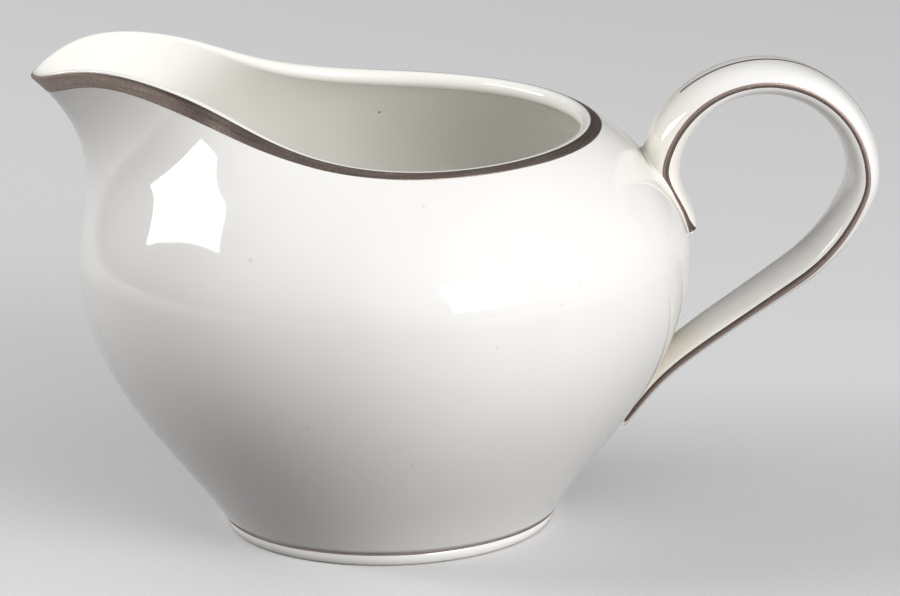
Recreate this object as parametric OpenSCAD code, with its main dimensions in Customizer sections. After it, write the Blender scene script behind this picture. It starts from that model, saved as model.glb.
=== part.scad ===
// Porcelain creamer: a globe-shaped bowl drawn out into a pouring lip, on a low foot
// ring, with a strap handle luted to its back and painted metal lines on the glaze.
// The origin is the centre of the standing face, +Z is up, the lip points along -X and
// the handle along +X. Lengths are millimetres.

/* [Bowl] */
// Radius of the bowl at the belly, its widest place
belly_r = 47.5; // [44:0.5:52]
// Height of the belly above the standing face
belly_h = 43.4; // [40:0.2:47]
// Height of the mouth above the belly, at the back and the sides
shoulder_h = 20.3; // [18:0.1:24]
// Radius of the mouth at the back and the sides, at the outer edge of its rim
mouth_r = 32.5; // [29:0.5:36]
// Thickness of the wall
wall_t = 2.6; // [2:0.1:3.2]
// Slope of the wall where it leaves the foot, from the horizontal
foot_slope = 57.6; // [50:0.1:64]
// How far the lower wall runs straight on from the foot
foot_pull = 14; // [9:0.5:18]
// How far the lower wall runs upright below the belly
belly_pull = 18.2; // [13:0.1:22]
// How far the shoulder runs upright above the belly, at the back and the sides
shoulder_pull = 10.2; // [7:0.1:13]
// How far the shoulder runs straight into the rim, at the back and the sides
rim_pull = 2.8; // [1.6:0.1:5]
// Direction of the wall at the rim, at the back and the sides: 90 is upright, 180 level
rim_lean = 160; // [135:1:168]
// Height of the floor inside the bowl above the foot ring
floor_t = 2.9; // [2.2:0.1:4]

/* [Pouring lip] */
// How far the lip reaches out beyond the round of the mouth
lip_reach = 21; // [14:0.1:26]
// Angle over which the lip spreads to each side of its tip
lip_spread = 24; // [20:0.5:32]
// Sharpness of the lip: 2 is a soft bell, lower is more pointed
lip_sharpness = 1.58; // [1.4:0.01:2.2]
// How far the rim climbs towards the lip
lip_rise = 13.7; // [8:0.1:18]
// How late the rim climbs: a higher number keeps the back of the mouth level for longer
lip_rise_power = 4.38; // [3:0.01:7]
// How far the tip of the lip dips again
lip_dip = 4.3; // [2:0.1:7]
// Angle over which the tip dips to each side
lip_dip_spread = 10.3; // [8:0.1:14]
// Direction of the wall at the lip: 90 is upright, less leans outwards
lip_lean = 42.5; // [30:0.5:60]
// How far the wall runs upright above the belly below the lip
throat_pull = 8; // [5:0.1:12]
// How far the throat runs straight into the lip
lip_pull = 17; // [14:0.5:23]
// Thickness of the wall at the tip of the lip
lip_wall_t = 1; // [0.8:0.1:2.6]
// Angle over which the wall turns and thins to each side of the tip
lip_turn_spread = 42; // [30:1:60]

/* [Foot ring] */
// Height of the foot ring
foot_h = 2.3; // [1.6:0.1:4]
// Outer radius of the foot ring where the bowl sits on it
foot_top_r = 26.3; // [24:0.1:30]
// How far the foot ring draws in from there to the face that it stands on
foot_draw = 1.2; // [0.5:0.1:3]
// Width of the ground face that the foot ring stands on
foot_land_w = 1.8; // [1.2:0.1:2.6]
// How far the foot ring widens inwards from its standing face to the bowl
foot_cove = 1.6; // [0.5:0.1:2.4]

/* [Handle] */
// Distance of the loop's centre from the belly
loop_out = 11.5; // [10:0.1:13]
// Height of the loop's centre above the belly
loop_lift = 9.7; // [8:0.1:11]
// Radius of the loop's upper half, at the middle of the strap
loop_r = 16; // [14.5:0.1:17]
// Radius of the short bend below the loop's far side
heel_r = 7; // [5:0.5:9]
// Angle in degrees that it turns through
heel_angle = 21.5; // [19:0.5:24]
// Radius of the wide bend that leads on to the arm
heel_run_r = 28; // [26:0.5:30]
// Angle in degrees that it turns through
heel_run_angle = 35.5; // [30:0.5:40]
// How far the arm runs straight on from that bend
arm_pull = 26; // [18:0.5:30]
// How far the arm's end runs along the bowl
arm_end_pull = 11; // [6:0.5:14]
// Height of the arm's tip above the foot ring
arm_tip_h = 12.9; // [9:0.1:16]
// How far the middle of the arm's tip stands off the bowl
arm_tip_stand = 0.4; // [0:0.05:0.8]
// Angle in degrees above the loop's near side at which the strap leaves its round
tongue_angle = 12; // [6:1:20]
// How far the loop runs straight on below that
loop_pull = 3; // [1.5:0.1:5]
// How far the tongue runs up along the shoulder
tongue_pull = 6; // [3:0.1:8]
// Height of the tongue's end above the belly
tongue_h = 2.1; // [0.6:0.1:4]
// How far the middle of the tongue stands off the bowl
tongue_stand = 0.1; // [0:0.05:0.5]
// Width of the strap
strap_w = 13.6; // [11:0.1:15]
// Thickness of the strap
strap_t = 4.9; // [4:0.1:5.6]
// Least thickness of the strap where it is trimmed to the bowl
strap_edge_t = 0.4; // [0.3:0.05:0.6]
// How square the strap's section is: 2 is an ellipse
strap_squareness = 2.3; // [2:0.1:3]

/* [Luting slip] */
// Thickness of the slip between the handle and the bowl
slip_t = 0.25; // [0.2:0.05:0.5]
// How far the slip shows round the handle's ends
slip_border = 0.6; // [0.3:0.1:1]
// Clearance on each side of the slip
slip_fit = 0.04; // [0.02:0.01:0.1]

/* [Metal lines] */
// Width of the band round the rim, at the back and the sides
band_w = 1.9; // [1.2:0.1:3]
// Width of the same band at the tip of the lip
lip_band_w = 2.9; // [1.2:0.1:4]
// Thickness at which the painted metal is modelled
film_t = 0.15; // [0.1:0.01:0.3]
// Width of the line round the top of the foot ring
foot_line_w = 0.35; // [0.25:0.05:0.8]
// Half the angle of the strap's section that the line on each edge covers
edge_line_angle = 9; // [7:1:14]
// Half the angle of the strap's section that the line along its back covers
back_line_angle = 1; // [0.8:0.1:3]

/* [Hidden] */

// Derived places
mouth_h = belly_h + shoulder_h;
loop_x = belly_r + loop_out;
loop_z = belly_h + loop_lift;
foot_base_r = foot_top_r - foot_draw;
foot_inner_r = foot_base_r - foot_land_w;
foot_cove_r = foot_inner_r - foot_cove;
floor_h = foot_h + floor_t;

// Where the painted lines of the handle start and end, as shares of the strap's length
edge_line_start_share = 0;
edge_line_end_share = 0.98;
back_line_start_share = 0.2;
back_line_end_share = 0.97;
// Thickness of the slip's edge, as a share of its full thickness
slip_edge_share = 0.3;

// Steps of the lofted bowl: sectors round it, and rows along its wall
sectors = 88;
// How much closer the sectors stand at the lip, in degrees of shift
sector_shift = 28;
// Distance between the rings of the strap
strap_step = loop_r / 6.5;
lower_rows = 9;
upper_rows = 10;
band_rows = 3;
rim_rows = 5;
floor_rows = 4;
half_turn = 180;
quarter_turn = 90;
// Steps of the strap's curves, of its loop and of its heel
course_steps = 16;
loop_steps = 48;
heel_steps = 4;
// Steps of the bisections that find a place on the wall
search_steps = 14;
// Where the floor's curve leaves the inner wall, as a share of the lower wall
floor_start_share = 0.2;
// How far the inner wall runs straight on into the floor's curve, and how far the
// floor is level round its middle, as shares of the floor's start radius
floor_turn_share = 0.2;
floor_level_share = 0.62;

// A point at share t of the cubic curve with the control points a, b, c and d
function curve(a, b, c, d, t) =
    pow(1 - t, 3) * a + 3 * pow(1 - t, 2) * t * b + 3 * (1 - t) * t * t * c + t * t * t * d;

// The direction of that curve at share t
function curve_slope(a, b, c, d, t) =
    3 * pow(1 - t, 2) * (b - a) + 6 * (1 - t) * t * (c - b) + 3 * t * t * (d - c);

function unit(v) = v / norm(v);

// A profile's outward side, a quarter turn clockwise from its upward direction
function side(v) = [v[1], -v[0]];

// How far from the lip's tip a sector is, in degrees
function off_lip(phi) = abs(half_turn - phi);

// How far the rim is drawn out in a sector, from 0 at the back to 1 at the tip
function lip_share(phi) = exp(-pow(off_lip(phi) / lip_spread, lip_sharpness));

// How far the wall has turned from its form at the back to that at the tip
function turn_share(phi) = exp(-pow(off_lip(phi) / lip_turn_spread, 2));

function mix(a, b, share) = a + (b - a) * share;

// Thickness of the rim in a sector
function rim_t(phi) = mix(wall_t, lip_wall_t, turn_share(phi));

// The rim's outer edge, as radius and height, at the angle phi round the bowl
function rim(phi) = [
    mouth_r + lip_reach * lip_share(phi),
    mouth_h + lip_rise * pow((1 - cos(phi)) / 2, lip_rise_power)
        - lip_dip * exp(-pow(off_lip(phi) / lip_dip_spread, 2))
];

// Control points of the lower wall, from the foot ring to the belly
function lower_wall() = [
    [foot_top_r, foot_h],
    [foot_top_r, foot_h] + foot_pull * [cos(foot_slope), sin(foot_slope)],
    [belly_r, belly_h - belly_pull],
    [belly_r, belly_h]
];

// Control points of the upper wall, from the belly to the rim
function upper_wall(phi) =
    let (share = turn_share(phi), lean = mix(rim_lean, lip_lean, share))
    [
        [belly_r, belly_h],
        [belly_r, belly_h + mix(shoulder_pull, throat_pull, share)],
        rim(phi) - mix(rim_pull, lip_pull, share) * [cos(lean), sin(lean)],
        rim(phi)
    ];

function on(wall, t) = curve(wall[0], wall[1], wall[2], wall[3], t);

function heading(wall, t) = unit(curve_slope(wall[0], wall[1], wall[2], wall[3], t));

// The place on the wall, as radius and height, and the same place sunk by a depth
function sunk(wall, t, depth) = on(wall, t) - depth * side(heading(wall, t));

// Share of the upper wall at which a band of a width ends below, found by bisection
function band_start(wall, width, low = 0, high = 1, steps = search_steps) =
    let (middle = (low + high) / 2)
    steps == 0 ? middle :
    norm(on(wall, 1) - on(wall, middle)) > width
        ? band_start(wall, width, middle, high, steps - 1)
        : band_start(wall, width, low, middle, steps - 1);

// The same for the painted band, which is wider at the lip
function band_end(phi) = band_start(upper_wall(phi), mix(band_w, lip_band_w, lip_share(phi)));

// Rows of the band, from its lower edge to the rim, lifted off the glaze by a height
function band_side(phi, lift) =
    let (wall = upper_wall(phi), start = band_end(phi))
    [for (k = [0 : band_rows]) sunk(wall, mix(start, 1, k / band_rows), -lift)];

// The bowl's outline in one sector, from the middle of its underside, up the outer
// wall, over the rounded rim and down the inner wall to the middle of the floor
function bowl_profile(phi) =
    let (
        low = lower_wall(),
        up = upper_wall(phi),
        start = band_end(phi),
        rim_out = side(heading(up, 1)),
        rim_up = heading(up, 1),
        rim_middle = sunk(up, 1, rim_t(phi) / 2),
        floor_out = sunk(low, floor_start_share, wall_t),
        floor_down = heading(low, floor_start_share) * floor_out[0] * floor_turn_share
    )
    concat(
        [for (k = [0 : lower_rows - 1]) on(low, k / lower_rows)],
        [for (k = [0 : upper_rows - 1]) on(up, start * k / upper_rows)],
        band_side(phi, 0),
        [for (k = [1 : rim_rows - 1])
            rim_middle + rim_t(phi) / 2 * (rim_out * cos(half_turn * k / rim_rows)
                + rim_up * sin(half_turn * k / rim_rows))],
        [for (k = [upper_rows : -1 : 1])
            sunk(up, k / upper_rows, mix(wall_t, rim_t(phi), pow(k / upper_rows, 2)))],
        [for (k = [lower_rows : -1 : 1])
            sunk(low, mix(floor_start_share, 1, k / lower_rows), wall_t)],
        [for (k = [0 : floor_rows - 1])
            curve(floor_out, floor_out - floor_down,
                [floor_out[0] * floor_level_share, floor_h], [0, floor_h], k / floor_rows)]
    );

// The angle of a sector: the sectors stand closer together at the lip
function sector_angle(k) = 360 * k / sectors + sector_shift * sin(360 * k / sectors);

function around(point, phi) = [point[0] * cos(phi), point[0] * sin(phi), point[1]];

// Closed triangles between rings of points, rings first; each ring closes on itself
function ring_faces(rings, count) = [
    for (i = [0 : rings - 2], j = [0 : count - 1])
        let (
            a = i * count + j,
            b = i * count + (j + 1) % count,
            c = (i + 1) * count + (j + 1) % count,
            d = (i + 1) * count + j
        )
        each [[a, b, c], [a, c, d]]
];

// A ring's cap, as a fan round a middle point; the last cap is turned the other way
function fan(first, count, middle, is_last) = [
    for (j = [0 : count - 1])
        let (a = first + j, b = first + (j + 1) % count)
        is_last ? [a, b, middle] : [b, a, middle]
];

// The middle of a ring of points
function centre(ring) = [for (k = [0 : 2])
    [for (point = ring) point[k]] * [for (point = ring) 1 / len(ring)]];

// A closed skin through rings of points that all have the same count
module tube(rings) {
    count = len(rings[0]);
    last = len(rings) - 1;
    corners = [for (ring = rings) each ring];
    polyhedron(
        points = concat(corners, [centre(rings[0]), centre(rings[last])]),
        faces = concat(
            ring_faces(last + 1, count),
            fan(0, count, len(corners), false),
            fan(last * count, count, len(corners) + 1, true)
        )
    );
}

// A closed skin round the axis: one list of points for each sector, joined in a circle
module turned(profiles, closed_profile) {
    count = len(profiles[0]);
    turns = len(profiles);
    steps = closed_profile ? count : count - 1;
    corners = [for (profile = profiles) each profile];
    wall = [
        for (i = [0 : turns - 1], j = [0 : steps - 1])
            let (
                next = (i + 1) % turns,
                a = i * count + j,
                b = i * count + (j + 1) % count,
                c = next * count + (j + 1) % count,
                d = next * count + j
            )
            each [[a, b, c], [a, c, d]]
    ];
    caps = closed_profile ? [] : [
        for (i = [0 : turns - 1])
            let (next = (i + 1) % turns)
            each [
                [len(corners), i * count, next * count],
                [len(corners) + 1, (next + 1) * count - 1, (i + 1) * count - 1]
            ]
    ];
    middles = closed_profile ? [] : [[0, 0, profiles[0][0][2]], [0, 0, floor_h]];
    polyhedron(points = concat(corners, middles), faces = concat(wall, caps));
}

module bowl() {
    color("#ecebe8")
        turned([for (k = [0 : sectors - 1])
            let (phi = sector_angle(k))
            [for (point = bowl_profile(phi)) around(point, phi)]], false);
}

// The painted band lies on the outer wall and ends at the rim's edge
module rim_band() {
    color("#5a504a")
        turned([for (k = [0 : sectors - 1])
            let (
                phi = sector_angle(k),
                inside = band_side(phi, 0),
                outside = band_side(phi, film_t)
            )
            [for (point = concat(outside, [for (n = [band_rows : -1 : 0]) inside[n]]))
                around(point, phi)]], true);
}

// Half the outline of the foot ring: a ground land, a bevelled wall and an inner cove
module foot_ring() {
    color("#e2ded6")
        rotate_extrude($fn = 96)
            polygon([
                [foot_inner_r, 0],
                [foot_base_r, 0],
                [foot_top_r, foot_h],
                [foot_cove_r, foot_h]
            ]);
}

// The hairline round the top of the foot ring, as thick as the painted film
module foot_line() {
    wall = unit([foot_top_r - foot_base_r, foot_h]);
    top = [foot_top_r, foot_h];
    low = top - foot_line_w * wall;
    lift = film_t * side(wall);
    color("#6b5a50")
        rotate_extrude($fn = 96)
            polygon([low, low + lift, [top[0] + lift[0], foot_h], top]);
}

// Radius of the bowl's outer wall at a height, in the round part of the bowl
function wall_r(z) =
    let (wall = z < belly_h ? lower_wall() : upper_wall(0))
    on(wall, share_at(wall, z))[0];

// Share of a wall at which it reaches a height, found by bisection
function share_at(wall, z, low = 0, high = 1, steps = search_steps) =
    let (middle = (low + high) / 2)
    steps == 0 ? middle :
    on(wall, middle)[1] < z
        ? share_at(wall, z, middle, high, steps - 1)
        : share_at(wall, z, low, middle, steps - 1);

// A point moved out level, where needed, until it lies a clearance off the bowl
function seated(point, clearance) =
    let (
        r = norm([point[0], point[1]]),
        needed = wall_r(point[2]) + clearance,
        spread = max(1, needed / r)
    )
    [point[0] * spread, point[1] * spread, point[2]];

// Angles round the strap's section, from its right edge over its back
strap_section = [
    -edge_line_angle, edge_line_angle, 30, 50, 70, quarter_turn - back_line_angle,
    quarter_turn + back_line_angle, 110, 130, 150, half_turn - edge_line_angle,
    half_turn + edge_line_angle, 210, 232, 257, 283, 308, 330
];

// A place of the strap's course is [x, z, direction]; this is its place alone
function spot(place) = [place[0], place[1]];

function along(direction) = [cos(direction), sin(direction)];

// The place at a share of a clockwise bend
function bend(start, r, turn, share) =
    let (end = start[2] - turn * share)
    [
        start[0] - r * (sin(end) - sin(start[2])),
        start[1] + r * (cos(end) - cos(start[2])),
        end
    ];

// The place at a share of a curve with four control points
function curve_place(points, share) =
    let (slope = heading(points, share))
    concat(on(points, share), [atan2(slope[1], slope[0])]);

// Where the bends of the loop and of its heel begin and end
loop_start = [
    loop_x - loop_r * cos(tongue_angle),
    loop_z + loop_r * sin(tongue_angle),
    quarter_turn - tongue_angle
];
loop_angle = half_turn - tongue_angle;
heel_start = bend(loop_start, loop_r, loop_angle, 1);
heel_run_start = bend(heel_start, heel_r, heel_angle, 1);
arm_start = bend(heel_run_start, heel_run_r, heel_run_angle, 1);

// The tongue's curve, from its end on the shoulder up to the loop
shoulder = upper_wall(0);
tongue_share = share_at(shoulder, belly_h + tongue_h);
tongue_end = sunk(shoulder, tongue_share, -tongue_stand);
tongue_curve = [
    tongue_end,
    tongue_end + tongue_pull * heading(shoulder, tongue_share),
    spot(loop_start) - loop_pull * along(loop_start[2]),
    spot(loop_start)
];

// The arm's curve, from the heel down to its tip on the lower wall
tip_share = share_at(lower_wall(), foot_h + arm_tip_h);
arm_tip = sunk(lower_wall(), tip_share, -arm_tip_stand);
arm_curve = [
    spot(arm_start),
    spot(arm_start) + arm_pull * along(arm_start[2]),
    arm_tip + arm_end_pull * heading(lower_wall(), tip_share),
    arm_tip
];

// The strap's course, from the tongue's end over the loop and down the arm to its tip
free_course = concat(
    [for (k = [0 : course_steps - 1]) curve_place(tongue_curve, k / course_steps)],
    [for (k = [0 : loop_steps - 1]) bend(loop_start, loop_r, loop_angle, k / loop_steps)],
    [for (k = [0 : heel_steps - 1]) bend(heel_start, heel_r, heel_angle, k / heel_steps)],
    [for (k = [0 : course_steps - 1])
        bend(heel_run_start, heel_run_r, heel_run_angle, k / course_steps)],
    [for (k = [0 : course_steps]) curve_place(arm_curve, k / course_steps)]
);

// The same course, kept off the bowl
strap_course = [for (place = free_course)
    [max(place[0], wall_r(place[1]) + tongue_stand), place[1], place[2]]];

// How far along the course each of its places is
distances = [
    for (k = 0, d = 0; k < len(strap_course); k = k + 1,
        d = k < len(strap_course) ? d + norm(spot(strap_course[k]) - spot(strap_course[k - 1])) : d)
    d
];
strap_l = distances[len(distances) - 1];

// For each number of a place, its table by distance
course_tables = [for (axis = [0 : 2])
    [for (k = [0 : len(distances) - 1]) [distances[k], strap_course[k][axis]]]];

// A place on the strap at a share of its length
function strap_place(share) = [for (table = course_tables) lookup(share * strap_l, table)];

// The strap's width and thickness along its length, as shares of the full ones
strap_w_shares = [
    [0, 0.8], [0.02, 0.9], [0.06, 0.97], [0.12, 1], [0.7, 1], [0.85, 0.95], [0.96, 0.9], [1, 0.7]
];
strap_t_shares = [
    [0, 0.55], [0.012, 0.64], [0.042, 0.64], [0.065, 0.8], [0.09, 1.2], [0.12, 1.14],
    [0.16, 1.1], [0.24, 0.98], [0.35, 1.06], [0.45, 1.03], [0.55, 0.98], [0.66, 0.84],
    [0.75, 0.7], [0.85, 0.66], [0.93, 0.6], [1, 0.45]
];

// Outer side of the course in the upright plane, and the same as a point of space
function away(place) = [-sin(place[2]), 0, cos(place[2])];

// A corner of the strap's section: its share of the length, its angle and its lift
function strap_corner(share, angle, lift) =
    let (
        place = strap_place(share),
        half_w = strap_w / 2 * lookup(share, strap_w_shares),
        half_t = strap_t / 2 * lookup(share, strap_t_shares),
        power = 2 / strap_squareness,
        across = sign(cos(angle)) * pow(abs(cos(angle)), power),
        rise = sign(sin(angle)) * pow(abs(sin(angle)), power),
        least = sin(angle) * away(place)[0] > 0 ? strap_edge_t : 0
    )
    seated(
        [place[0], -half_w * across - lift * cos(angle), place[1]]
            + (half_t * rise + lift * sin(angle)) * away(place),
        slip_fit + slip_t + slip_fit + least + lift
    );

// The middle of the strap's outer face, for side 1, or of its inner face, for side -1
function strap_face(share, side) =
    let (place = strap_place(share), half_t = strap_t / 2 * lookup(share, strap_t_shares))
    [place[0], 0, place[1]] + side * half_t * away(place);

// Height at which a face of the strap meets the bowl, between a share of the length
// where it is inside the bowl and one where it is outside, found by bisection
function meeting_h(side, inside, outside, steps = search_steps) =
    let (middle = (inside + outside) / 2, face = strap_face(middle, side))
    steps == 0 ? face[2] :
    face[0] < wall_r(face[2])
        ? meeting_h(side, middle, outside, steps - 1)
        : meeting_h(side, inside, middle, steps - 1);

// Shares of the strap's length at which a line or the strap has its rings
function strap_steps(first, last) =
    let (rings = ceil((last - first) * strap_l / strap_step))
    [for (k = [0 : rings]) mix(first, last, k / rings)];

module handle() {
    color("#ecebe8")
        tube([for (share = strap_steps(0, 1))
            [for (angle = strap_section) strap_corner(share, angle, 0)]]);
}

// A painted line along the strap, between two angles of its section
module strap_line(low, high, first, last) {
    color("#5a504a")
        tube([for (share = strap_steps(first, last)) [
            strap_corner(share, low, 0),
            strap_corner(share, low, film_t),
            strap_corner(share, high, film_t),
            strap_corner(share, high, 0)
        ]]);
}

module handle_line_right() {
    strap_line(-edge_line_angle, edge_line_angle, edge_line_start_share, edge_line_end_share);
}

module handle_line_left() {
    strap_line(half_turn - edge_line_angle, half_turn + edge_line_angle, edge_line_start_share,
        edge_line_end_share);
}

module handle_line_back() {
    strap_line(quarter_turn - back_line_angle, quarter_turn + back_line_angle,
        back_line_start_share, back_line_end_share);
}

// A point on the bowl at a height and a distance across, raised by a lift
function on_bowl(across, z, lift) =
    let (r = wall_r(z) + lift)
    [sqrt(r * r - across * across), across, z];

// Rows of a pad of slip, as shares of its height and of the strap's half width
slip_rows_shares = [
    [0, 0.5], [0.06, 0.72], [0.2, 0.93], [0.4, 1], [0.6, 1], [0.8, 0.97], [0.94, 0.85], [1, 0.6]
];

// A pad of slip on the bowl between two heights: flat where the strap lies on it and
// run out thin round it
module slip_pad(low, high) {
    last_row = len(slip_rows_shares) - 1;
    color("#e9e3d3")
        tube([for (k = [0 : last_row])
            let (
                z = mix(low - slip_border, high + slip_border, slip_rows_shares[k][0]),
                half_w = strap_w / 2 * slip_rows_shares[k][1],
                edge = half_w + slip_border,
                columns = [-edge, -half_w, -half_w / 2, 0, half_w / 2, half_w, edge],
                thin = slip_t * slip_edge_share,
                inner = k == 0 || k == last_row ? thin : slip_t,
                lifts = [thin, inner, inner, inner, inner, inner, thin]
            )
            concat(
                [for (across = columns) on_bowl(across, z, slip_fit)],
                [for (n = [len(columns) - 1 : -1 : 0])
                    on_bowl(columns[n], z, slip_fit + lifts[n])]
            )]);
}

module upper_joint_slip() {
    slip_pad(tongue_end[1], meeting_h(1, 0, 0.25));
}

module lower_joint_slip() {
    slip_pad(strap_face(1, 1)[2], meeting_h(-1, 1, 0.75));
}

bowl();
foot_ring();
handle();
upper_joint_slip();
lower_joint_slip();
rim_band();
foot_line();
handle_line_left();
handle_line_right();
handle_line_back();
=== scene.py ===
# %% [markdown]
# # A porcelain creamer with painted metal lines
#
# The creamer is a squat round bowl, drawn out at one side into a pouring lip, on a low
# foot ring. A looped strap handle is stuck to the other side with slip. Thin lines of
# metal lustre are painted on the glaze. The imported model gives the size and place of
# every piece, and this file dresses it: the bowl and the strap are made again with the
# same rules but far finer, and every surface gets the finish of fired porcelain.
#
# The imported model is brought in from model.glb, its pieces are set in world space, and
# the rest of what came with them is removed.

import math

import bmesh
import bpy
from mathutils import Matrix, Vector


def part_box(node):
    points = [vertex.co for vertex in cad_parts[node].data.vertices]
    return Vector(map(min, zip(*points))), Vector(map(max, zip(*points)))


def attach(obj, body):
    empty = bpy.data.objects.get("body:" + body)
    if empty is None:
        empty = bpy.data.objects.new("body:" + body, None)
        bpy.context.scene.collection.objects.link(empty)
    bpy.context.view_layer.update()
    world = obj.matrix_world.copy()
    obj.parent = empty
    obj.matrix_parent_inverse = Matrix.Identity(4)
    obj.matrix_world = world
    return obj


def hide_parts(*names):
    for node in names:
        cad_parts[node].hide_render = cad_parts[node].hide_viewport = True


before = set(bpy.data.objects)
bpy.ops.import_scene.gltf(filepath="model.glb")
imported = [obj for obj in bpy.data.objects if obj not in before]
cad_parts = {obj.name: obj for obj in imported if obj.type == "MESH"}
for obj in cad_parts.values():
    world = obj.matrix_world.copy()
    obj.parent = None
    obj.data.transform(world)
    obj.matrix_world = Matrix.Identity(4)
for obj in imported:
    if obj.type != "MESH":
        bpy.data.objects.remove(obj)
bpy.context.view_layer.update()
BODY = "root"
MM = 0.001


print("nodes:", sorted(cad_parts))

# %% [markdown]
# ## The camera
#
# A camera can be found from the curves in a picture whose real shape is known. Here the
# round foot, the round of the mouth and the two outlines of the bowl fix how far above
# the table the camera stood and how far round, and a distance of a metre gives them the
# photograph's slight perspective. The focal length was found in pixels of a picture 900
# pixels wide, so it is turned into millimetres on the sensor. The camera leans sideways
# by a little over a degree.

# %% Camera
IMAGE_WIDTH_PX = 900
FOCAL_PX = 6413
SENSOR_MM = 36
CAMERA_AZIMUTH = math.radians(4)
CAMERA_ELEVATION = math.radians(16)
CAMERA_ROLL = math.radians(1.28)
CAMERA_DISTANCE = 1000 * MM
CAMERA_TARGET = Vector((10.08, 0, 35.17)) * MM


def show(name, data):
    """An object in the scene that carries this camera, lamp or mesh."""
    made = bpy.data.objects.new(name, data)
    bpy.context.scene.collection.objects.link(made)
    return made


def camera_axes():
    """Right, up and forward directions of the camera."""
    forward = Vector((math.sin(CAMERA_AZIMUTH) * math.cos(CAMERA_ELEVATION),
                      math.cos(CAMERA_AZIMUTH) * math.cos(CAMERA_ELEVATION),
                      -math.sin(CAMERA_ELEVATION)))
    level = Vector((math.cos(CAMERA_AZIMUTH), -math.sin(CAMERA_AZIMUTH), 0))
    upright = level.cross(forward)
    right = level * math.cos(CAMERA_ROLL) - upright * math.sin(CAMERA_ROLL)
    up = level * math.sin(CAMERA_ROLL) + upright * math.cos(CAMERA_ROLL)
    return right, up, forward


def place_camera():
    """The photograph's camera."""
    right, up, forward = camera_axes()
    lens = bpy.data.cameras.new("camera")
    lens.sensor_width = SENSOR_MM
    lens.lens = FOCAL_PX / IMAGE_WIDTH_PX * SENSOR_MM
    camera = show("camera", lens)
    place = CAMERA_TARGET - forward * CAMERA_DISTANCE
    turned = Matrix((right, up, -forward)).transposed().to_4x4()
    camera.matrix_world = Matrix.Translation(place) @ turned
    bpy.context.scene.camera = camera
    return camera


camera = place_camera()
bpy.context.scene.view_settings.view_transform = "Standard"
print("camera at", [round(value, 3) for value in camera.location], "lens", camera.data.lens)

# %% [markdown]
# ## Formulas as nodes
#
# Both the shapes and the finishes below follow formulas, and Blender keeps a formula as
# a tree of small Math nodes. Wiring these by hand hides the formula. The class here
# wraps one socket of a tree, so that `1 - t` or `a * b` in Python adds the right Math
# node and gives back its result, and the tree's script reads like the formula itself.
# Every other kind of node comes from one function, which is told the node's type, its
# settings and what goes into its sockets.

# %% A quantity in a node tree
def put(tree, kind, settings=None, sockets=None, output=0):
    """Adds a node, sets it up, feeds its sockets, and gives back one of its outputs."""
    made = tree.nodes.new(kind)
    for name, value in (settings or {}).items():
        setattr(made, name, value)
    for name, value in (sockets or {}).items():
        if isinstance(value, Quantity):
            tree.links.new(value.socket, made.inputs[name])
        else:
            made.inputs[name].default_value = value
    return Quantity(made.outputs[output])


class Quantity:
    """A number or a vector in a node tree; arithmetic on numbers adds Math nodes."""

    def __init__(self, socket):
        self.socket = socket
        self.tree = socket.id_data

    def maths(self, operation, *values):
        """What a Math node makes of these values."""
        return put(self.tree, "ShaderNodeMath", {"operation": operation},
                   dict(enumerate(values)))

    def __add__(self, other):
        return self.maths("ADD", self, other)

    __radd__ = __add__

    def __sub__(self, other):
        return self.maths("SUBTRACT", self, other)

    def __rsub__(self, other):
        return self.maths("SUBTRACT", other, self)

    def __mul__(self, other):
        return self.maths("MULTIPLY", self, other)

    __rmul__ = __mul__

    def __truediv__(self, other):
        return self.maths("DIVIDE", self, other)

    def __rtruediv__(self, other):
        return self.maths("DIVIDE", other, self)

    def __pow__(self, other):
        return self.maths("POWER", self, other)

    def __neg__(self):
        return self.maths("MULTIPLY", self, -1.0)

    def function(self, operation):
        """A function of this quantity alone, such as its sine."""
        return self.maths(operation, self)

    def at_least(self, other):
        return self.maths("MAXIMUM", self, other)

    def at_most(self, other):
        return self.maths("MINIMUM", self, other)

    def step(self, low, high):
        """0 below low, 1 above high, and a smooth rise between them."""
        return put(self.tree, "ShaderNodeMapRange", {"interpolation_type": "SMOOTHSTEP"},
                   {"Value": self, "From Min": low, "From Max": high})


def separate(vector):
    """The three numbers of a vector."""
    made = put(vector.tree, "ShaderNodeSeparateXYZ", None, {0: vector})
    return [Quantity(socket) for socket in made.socket.node.outputs]


def combine(tree, x, y, z):
    """A vector of three numbers."""
    return put(tree, "ShaderNodeCombineXYZ", None, {"X": x, "Y": y, "Z": z})


def vectors(operation, first, second, output=0):
    """A Vector Math node on two vectors."""
    return put(first.tree, "ShaderNodeVectorMath", {"operation": operation},
               {0: first, 1: second}, output)


# %% [markdown]
# ## A shape tree and what it leaves behind
#
# A Geometry Nodes tree has named inputs, so that its sizes can be changed in the modifier
# panel. `shape_tree` makes an empty tree with such inputs. `grow` puts the tree on an
# empty piece, sets the inputs by their identifiers, and takes the finished shape as a
# plain mesh, with the doubled points of its seams joined and its faces turned outwards.

# %% Shape trees
SAME_POINT = 1e-7


def shape_tree(name, sizes):
    """An empty tree with a named input for each size, and its inputs as quantities."""
    tree = bpy.data.node_groups.new(name, "GeometryNodeTree")
    for size, value in sizes.items():
        kind = {int: "NodeSocketInt", float: "NodeSocketFloat",
                bpy.types.Object: "NodeSocketObject",
                bpy.types.Material: "NodeSocketMaterial"}[type(value)]
        tree.interface.new_socket(size, in_out="INPUT", socket_type=kind)
    tree.interface.new_socket("Geometry", in_out="OUTPUT",
                              socket_type="NodeSocketGeometry")
    entry = tree.nodes.new("NodeGroupInput")
    return tree, {socket.name: Quantity(socket) for socket in entry.outputs
                  if socket.name}


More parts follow.
